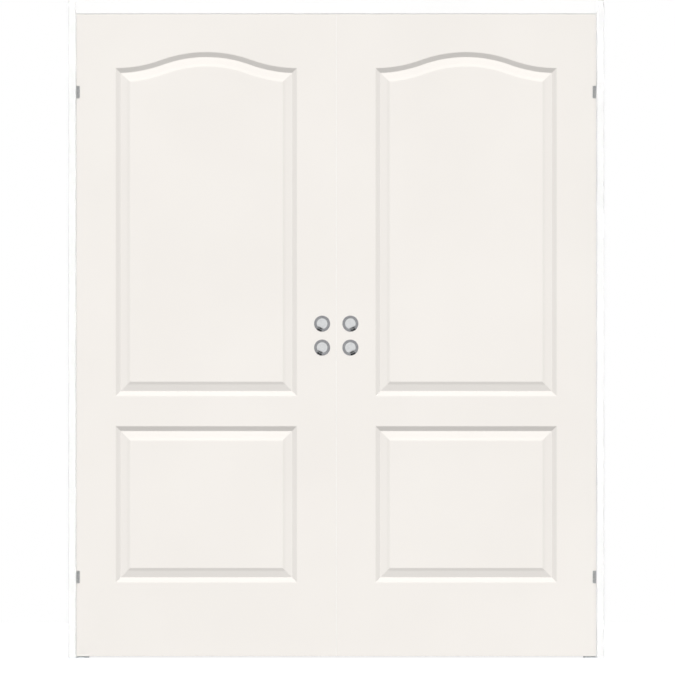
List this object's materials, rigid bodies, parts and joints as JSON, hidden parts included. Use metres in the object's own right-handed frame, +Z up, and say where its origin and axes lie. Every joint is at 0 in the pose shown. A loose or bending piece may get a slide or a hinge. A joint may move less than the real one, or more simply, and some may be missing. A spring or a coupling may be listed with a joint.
{
  "type": "double pocket door",
  "caption": "Pair of white moulded panel leaves with arched upper panels and round flush cups, hung from a track and sliding apart into a split pocket frame.",
  "frame": {"origin": "floor level under the middle of the doorway, in the leaves' middle plane", "axes": "+X along the doorway to the right leaf, +Y through it from front to back, +Z up"},
  "size_m": [3.2582, 0.1044, 2.13],
  "materials": {
    "leaf_paint": "satin white paint",
    "frame_paint": "satin white paint",
    "post_timber": "planed pine",
    "chrome": "polished",
    "clip_steel": "zinc plated",
    "screw_steel": "zinc plated",
    "galvanised": "galvanised",
    "track_aluminium": "anodised",
    "nylon": "moulded",
    "rubber": "matte"
  },
  "bodies": {
    "frame": {"header_channel": "galvanised", "track": "track_aluminium", "centre_stop": "rubber", "header_screws": "screw_steel", "left_front_jamb": "frame_paint", "left_back_jamb": "frame_paint", "right_front_jamb": "frame_paint", "right_back_jamb": "frame_paint", "front_head_board": "frame_paint", "back_head_board": "frame_paint", "left_front_stud": "galvanised", "left_back_stud": "galvanised", "right_front_stud": "galvanised", "right_back_stud": "galvanised", "left_end_post": "post_timber", "right_end_post": "post_timber", "bumpers": "rubber", "left_floor_guide": "galvanised", "right_floor_guide": "galvanised", "left_floor_plate": "galvanised", "right_floor_plate": "galvanised"},
    "left_leaf": {"left_front_skin": "leaf_paint", "left_back_skin": "leaf_paint", "left_trailing_stile": "leaf_paint", "left_meeting_stile": "leaf_paint", "left_top_rail": "leaf_paint", "left_bottom_rail": "leaf_paint", "left_upper_front_cup": "chrome", "left_lower_front_cup": "chrome", "left_upper_back_cup": "chrome", "left_lower_back_cup": "chrome", "left_upper_edge_clip": "clip_steel", "left_lower_edge_clip": "clip_steel", "left_hanger_plates": "galvanised", "left_hanger_screws": "screw_steel", "left_hanger_bolts": "screw_steel", "left_carriages": "galvanised", "left_axles": "screw_steel"},
    "left_lead_wheels": {"left_lead_wheels": "nylon"},
    "left_trail_wheels": {"left_trail_wheels": "nylon"},
    "right_leaf": {"right_front_skin": "leaf_paint", "right_back_skin": "leaf_paint", "right_trailing_stile": "leaf_paint", "right_meeting_stile": "leaf_paint", "right_top_rail": "leaf_paint", "right_bottom_rail": "leaf_paint", "right_upper_front_cup": "chrome", "right_lower_front_cup": "chrome", "right_upper_back_cup": "chrome", "right_lower_back_cup": "chrome", "right_upper_edge_clip": "clip_steel", "right_lower_edge_clip": "clip_steel", "right_hanger_plates": "galvanised", "right_hanger_screws": "screw_steel", "right_hanger_bolts": "screw_steel", "right_carriages": "galvanised", "right_axles": "screw_steel"},
    "right_lead_wheels": {"right_lead_wheels": "nylon"},
    "right_trail_wheels": {"right_trail_wheels": "nylon"}
  },
  "joints": [
    {"name": "left_leaf_slide", "type": "slide", "parent": "frame", "child": "left_leaf", "axis": [-1, 0, 0], "range_m": [0, 0.745]},
    {"name": "left_lead_wheels_spin", "type": "hinge", "parent": "left_leaf", "child": "left_lead_wheels", "pos_m": [-0.0603, 0, 2.1127], "axis": [0, -1, 0], "range_deg": [0, 4500]},
    {"name": "left_trail_wheels_spin", "type": "hinge", "parent": "left_leaf", "child": "left_trail_wheels", "pos_m": [-0.7653, 0, 2.1127], "axis": [0, -1, 0], "range_deg": [0, 4500]},
    {"name": "right_leaf_slide", "type": "slide", "parent": "frame", "child": "right_leaf", "axis": [1, 0, 0], "range_m": [0, 0.745]},
    {"name": "right_lead_wheels_spin", "type": "hinge", "parent": "right_leaf", "child": "right_lead_wheels", "pos_m": [0.0603, 0, 2.1127], "axis": [0, 1, 0], "range_deg": [0, 4500]},
    {"name": "right_trail_wheels_spin", "type": "hinge", "parent": "right_leaf", "child": "right_trail_wheels", "pos_m": [0.7653, 0, 2.1127], "axis": [0, 1, 0], "range_deg": [0, 4500]}
  ],
  "couplings": [
    {"joint": "left_lead_wheels_spin", "follows": "left_leaf_slide", "rad_per_m": 105.26},
    {"joint": "left_trail_wheels_spin", "follows": "left_leaf_slide", "rad_per_m": 105.26},
    {"joint": "right_lead_wheels_spin", "follows": "right_leaf_slide", "rad_per_m": 105.26},
    {"joint": "right_trail_wheels_spin", "follows": "right_leaf_slide", "rad_per_m": 105.26}
  ]
}
